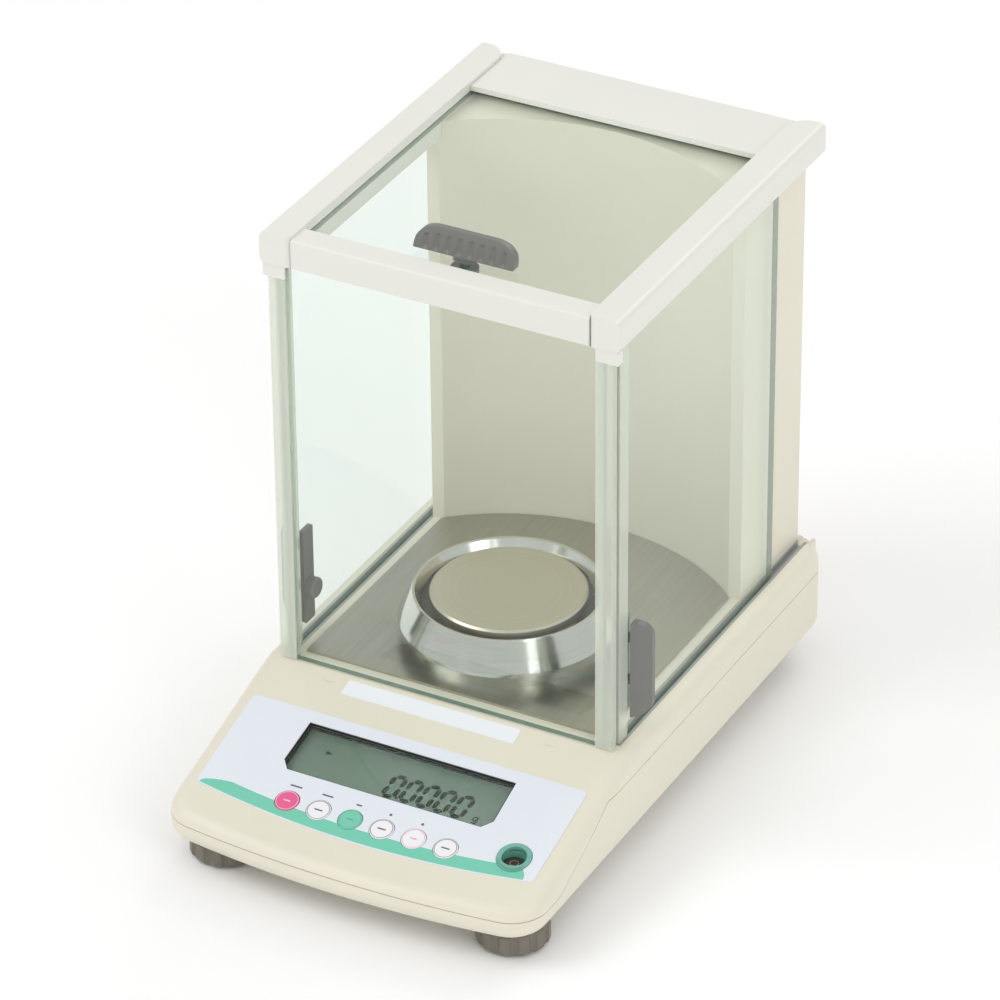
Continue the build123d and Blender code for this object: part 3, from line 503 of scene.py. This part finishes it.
RING_WIDTH = 0.28
for index, key in enumerate(KEY_BODIES):
    key_x = (index - 2.5) * KEY_PITCH
    look = KEY_INKS.get(key, ink_grey)

    def key_print(bm, key_x=key_x, index=index):
        annulus(
            bm,
            (key_x, KEY_LINE),
            KEY_RADIUS - 0.5 - RING_WIDTH,
            KEY_RADIUS - 0.5,
            on_panel,
            KEY_PROUD - 0.01,
            KEY_PROUD + PRINT_THICK,
        )
        dash = 4.6 if index % 2 else 3.8
        prism(
            bm,
            round_rect((key_x, KEY_LINE), dash, 0.8, 0.35),
            on_panel,
            KEY_PROUD - 0.01,
            KEY_PROUD + PRINT_THICK,
        )

    piece(f"key_print_{key}", key_print, look, f"key_{key}")

CAPTION_LINE = -39.6
CAPTIONS = ((0, 6.6, 0.9), (1, 6.2, 0.9), (2, 3.2, 0.9), (3, 1.5, 1.5), (4, 1.5, 1.5))


def caption_print(bm):
    for index, width, height in CAPTIONS:
        centre = ((index - 2.5) * KEY_PITCH, CAPTION_LINE)
        corner = min(width, height) * 0.45
        prism(
            bm,
            round_rect(centre, width, height, corner),
            on_panel,
            OVERLAY_THICK - 0.01,
            OVERLAY_THICK + PRINT_THICK,
        )


piece("caption_print", caption_print, ink_grey, "housing")


# ---------------------------------------------------------------- figures on the display
DIGIT_HEIGHT = 13.0
DIGIT_WIDTH = 6.0
DIGIT_PITCH = 9.4
DIGIT_SLANT = 0.12
STROKE = 2.5
DIGITS_RIGHT = 37.0
DIGIT_LINE = -19.5
SEGMENT_GAP = 0.12
LCD_PRINT = 0.15
LAYER_STEP = 0.001


def ink(layer=0):
    """Lower and upper height of a printed mark; marks that cross lie in different layers."""
    return 0.01 + LAYER_STEP * layer - LCD_DROP, LCD_PRINT - LCD_DROP + 2 * LAYER_STEP * layer


def segment(bm, start, end, base):
    """One hexagonal bar of a seven-segment figure, from start to end."""
    run = Vector(end) - Vector(start)
    along = run.normalized()
    side = Vector((-along.y, along.x)) * STROKE / 2
    first = Vector(start) + along * (SEGMENT_GAP + STROKE * 0.1)
    last = Vector(end) - along * (SEGMENT_GAP + STROKE * 0.1)
    taper = along * STROKE / 2
    corners = (
        first,
        first + taper + side,
        last - taper + side,
        last,
        last - taper - side,
        first + taper - side,
    )
    outline = [
        (base[0] + corner.x + DIGIT_SLANT * corner.y, base[1] + corner.y) for corner in corners
    ]
    prism(bm, outline, on_panel, *ink())


def figures(bm):
    half_w = DIGIT_WIDTH / 2
    half_h = DIGIT_HEIGHT / 2
    bars = (
        ((-half_w, half_h), (half_w, half_h)),
        ((half_w, half_h), (half_w, 0)),
        ((half_w, 0), (half_w, -half_h)),
        ((half_w, -half_h), (-half_w, -half_h)),
        ((-half_w, -half_h), (-half_w, 0)),
        ((-half_w, 0), (-half_w, half_h)),
    )
    for place in range(5):
        base = (DIGITS_RIGHT - place * DIGIT_PITCH, DIGIT_LINE)
        for start, end in bars:
            segment(bm, start, end, base)
    point = (DIGITS_RIGHT - 3.5 * DIGIT_PITCH - 0.8, DIGIT_LINE - half_h + 0.4)
    prism(bm, round_rect(point, 1.5, 1.5, 0.5), on_panel, *ink())
    # the small unit letter g, after the figures
    unit = (DIGITS_RIGHT + 9.6, DIGIT_LINE - half_h + 1.8)
    annulus(bm, unit, 0.85, 1.5, on_panel, *ink(), 24)
    stem = round_rect((unit[0] + 1.35, unit[1] - 0.7), 0.6, 4.2, 0.2)
    prism(bm, stem, on_panel, *ink(1))
    foot = round_rect((unit[0] + 0.1, unit[1] - 2.6), 2.6, 0.6, 0.2)
    prism(bm, foot, on_panel, *ink(2))
    # the small stability mark at the left
    mark = (-41.5, -11.5)
    arrow = [(mark[0] - 1.7, mark[1] + 1.2), (mark[0] + 1.9, mark[1]), (mark[0] - 1.7, mark[1] - 1.2)]
    prism(bm, arrow[::-1], on_panel, *ink())


piece("display_figures", figures, ink_lcd, "housing", smooth=False)


# ---------------------------------------------------------------- dark lining of the display's recess, partly a dark wall and partly painted shade
WINDOW = ((-57.8, 0), (57.8, 0), (58.5, -26), (54, -31.3), (-54, -31.3), (-58.5, -26))
WINDOW_DROP = 1.2
WINDOW_THICK = 1.5
LINING_SHADE_WIDTH = 0.5


def inset(outline, distance):
    """The outline drawn in by distance; its points run clockwise."""
    points = [Vector(point) for point in outline]
    moved = []
    for index, point in enumerate(points):
        before = (point - points[index - 1]).normalized()
        after = (points[(index + 1) % len(points)] - point).normalized()
        side = Vector((before.y + after.y, -before.x - after.x)).normalized()
        moved.append(point + side * distance / max(0.3, side.dot(Vector((before.y, -before.x)))))
    return moved


# The lining is partly the recess's own dark wall and partly painted shade: dark material put all round the
# recess where it falls in shade.
def dark_lining_and_shade(bm):
    outer = inset(WINDOW, 0.04)
    inner = inset(WINDOW, LINING_SHADE_WIDTH)
    for low, high in ((0.05 - LCD_DROP, -WINDOW_DROP - WINDOW_THICK - 0.05), (0.05 - WINDOW_DROP, 0.1)):
        loops = [
            [bm.verts.new(on_panel(point.x, point.y, height)) for point in outline]
            for outline, height in ((inner, low), (inner, high), (outer, high), (outer, low))
        ]
        for here, there in zip(loops, loops[1:] + loops[:1]):
            for index in range(len(WINDOW)):
                after = (index + 1) % len(WINDOW)
                bm.faces.new((here[index], here[after], there[after], there[index]))


piece("display_recess_shade_and_lining", dark_lining_and_shade, looks["switch_black"], "housing", smooth=False)


# ---------------------------------------------------------------- bubble level
LEVEL_TOP = on_panel(LEVEL_X, LEVEL_LINE).z / MM - 3.0
LEVEL_Y = on_panel(LEVEL_X, LEVEL_LINE).y / MM


def upright(x, y, height):
    return Vector((x, y, height)) * MM


def level_marks(bm):
    annulus(bm, (LEVEL_X, LEVEL_Y), 2.0, 2.3, upright, LEVEL_TOP, LEVEL_TOP + 0.05, 48)


def bubble(bm):
    """A flattened bubble under the vial's glass."""
    centre = upright(LEVEL_X + 0.2, LEVEL_Y + 0.1, LEVEL_TOP - 0.55)
    flatten = Matrix.Diagonal((1.5 * MM, 1.5 * MM, 0.5 * MM, 1))
    bmesh.ops.create_uvsphere(
        bm, u_segments=32, v_segments=16, radius=1.0, matrix=Matrix.Translation(centre) @ flatten
    )


piece("level_mark", level_marks, looks["key_pink"], "housing")
piece(
    "level_bubble", bubble, frosted("bubble_look", rgb(226, 236, 214), 0.75, 0.08), "housing"
)


# ---------------------------------------------------------------- ribbed handle on the roof door
handle_low, handle_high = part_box("top_handle")
HANDLE_HALF = (handle_high.x - handle_low.x) / 2 / MM
FIN_FRONT = -33.0
FIN_FOOT = 303.7
FIN_TOP = handle_high.z / MM
FIN_LEAN = 5.0
FIN_THICK = 3.6
RIB_COUNT = 8
RIB_DEPTH = 0.9
RIB_FOOT = 0.06
RIB_TOP = 0.72
RIB_RAMP = 12
RIB_END = 3.2
FIN_CORNER_WIDE = 12.0
FIN_CORNER_HIGH = 8.6
BOSS_HALF = 6.2
BOSS_LINE = -31.0
BOSS_LOW = 301.6
BOSS_HIGH = 303.75


def fin_surface(bm):
    """A leaning fin with upright ribs on its front and a smooth lip along its top."""
    across = 145
    rows = 15
    height = FIN_TOP - FIN_FOOT

    def outline_height(x):
        """The fin's top at x: straight in the middle, sweeping down to both ends."""
        over = max(0.0, abs(x) - (HANDLE_HALF - FIN_CORNER_WIDE)) / FIN_CORNER_WIDE
        return height - FIN_CORNER_HIGH * (1 - math.sqrt(max(1 - over * over, 0)))

    def rib(x, share):
        """How far the front is cut back between the ribs, at x and that share of the height."""
        if share > RIB_TOP or share < RIB_FOOT or abs(x) > HANDLE_HALF - RIB_END:
            return 0.0
        wave = 0.5 + 0.5 * math.cos(math.tau * x * RIB_COUNT / (2 * HANDLE_HALF - 6))
        ramp = min(1.0, (RIB_TOP - share) * RIB_RAMP, (share - RIB_FOOT) * RIB_RAMP)
        return RIB_DEPTH * (1 - wave) ** 2 * ramp

    grids = []
    for front in (True, False):
        grid = []
        for row in range(rows + 1):
            share = row / rows
            line = []
            for column in range(across + 1):
                x = HANDLE_HALF * (2 * column / across - 1)
                z = share * outline_height(x)
                lean = FIN_LEAN * z / height
                climb = z / height
                lip = 1.2 * max(0.0, climb - 0.85) / 0.15
                thick = FIN_THICK + 2 * (1 - climb) - lip * 0.5
                y = FIN_FRONT + lean + rib(x, share)
                if not front:
                    y = FIN_FRONT + lean + thick
                line.append(bm.verts.new(Vector((x, y, FIN_FOOT + z)) * MM))
            grid.append(line)
        grids.append(grid)
    for grid in grids:
        for row in range(rows):
            for column in range(across):
                lower, upper = grid[row], grid[row + 1]
                bm.faces.new((lower[column], lower[column + 1], upper[column + 1], upper[column]))
    front, rear = grids
    for row in range(rows):
        for column in (0, across):
            bm.faces.new(
                (front[row][column], front[row + 1][column], rear[row + 1][column], rear[row][column])
            )
    for row in (0, rows):
        for column in range(across):
            bm.faces.new(
                (front[row][column], front[row][column + 1], rear[row][column + 1], rear[row][column])
            )
    # the boss that carries the fin on the glass
    turns = [math.tau * step / 40 for step in range(40)]
    outline = [
        (BOSS_HALF * math.cos(turn), BOSS_LINE + 0.5 * BOSS_HALF * math.sin(turn)) for turn in turns
    ]
    prism(bm, outline, upright, BOSS_LOW, BOSS_HIGH)


handle_piece = piece(
    "top_handle_ribbed", fin_surface, looks["grey_plastic"], "roof_door"
)
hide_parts("top_handle")


# ---------------------------------------------------------------- contacts in the data port
PORT_X = 20
PORT_HEIGHT = 36
PIN_RADIUS = 0.5
PIN_PITCH = 2.74
PIN_ROWS = ((1.42, 5), (-1.42, 4))
PIN_FRONT = 166.1
PIN_REAR = 169.6


def socket_pins(bm):
    turns = [math.tau * step / 16 for step in range(16)]
    for row, columns in PIN_ROWS:
        for column in range(columns):
            x = PORT_X + (column - (columns - 1) / 2) * PIN_PITCH
            outline = [
                (x + PIN_RADIUS * math.cos(turn), PORT_HEIGHT + row + PIN_RADIUS * math.sin(turn))
                for turn in turns
            ]
            prism(bm, outline, lambda u, v, h: Vector((u, h, v)) * MM, PIN_FRONT, PIN_REAR)


piece("port_contacts", socket_pins, looks["brass"], "housing")


# ---------------------------------------------------------------- floor, light and world
def make_stage():
    floor_look = Nodes("stage_look")
    tone = floor_look.blend(
        floor_look.spread(floor_look.noise(2, 2), 0.3, 0.7, 0, 1), rgb(252, 252, 252), rgb(255, 255, 255)
    )
    material = floor_look.finish(floor_look.principled(Base_Color=tone, Roughness=0.8))
    mesh = bpy.data.meshes.new("stage_floor")
    reach = 6.0
    mesh.from_pydata(
        [(-reach, -reach, 0), (reach, -reach, 0), (reach, reach, 0), (-reach, reach, 0)], [], [(0, 1, 2, 3)]
    )
    mesh.materials.append(material)
    floor = bpy.data.objects.new("stage_floor", mesh)
    bpy.context.scene.collection.objects.link(floor)


def area_light(name, place, aim, size, power, colour=(1, 1, 1)):
    data = bpy.data.lights.new(name, "AREA")
    data.shape = "RECTANGLE"
    data.size, data.size_y = size
    data.energy = power
    data.color = colour
    light = bpy.data.objects.new(name, data)
    light.location = place
    light.rotation_euler = (Vector(aim) - Vector(place)).to_track_quat("-Z", "Y").to_euler()
    bpy.context.scene.collection.objects.link(light)


make_stage()
AIM = (0, 0, 0.15)
area_light("key_light", (-1.6, -1.4, 2.4), AIM, (1.6, 1.6), 26)
area_light("fill_light", (2.2, -1.2, 1.5), AIM, (1.4, 1.4), 14)
area_light("back_light", (0.4, 2.4, 2.2), AIM, (2.0, 1.2), 18)
world = bpy.data.worlds.new("studio")
world.use_nodes = True
world.node_tree.nodes["Background"].inputs["Color"].default_value = (1.0, 1.0, 1.0, 1.0)
world.node_tree.nodes["Background"].inputs["Strength"].default_value = 0.7
bpy.context.scene.world = world
bpy.context.scene.view_settings.view_transform = "Standard"
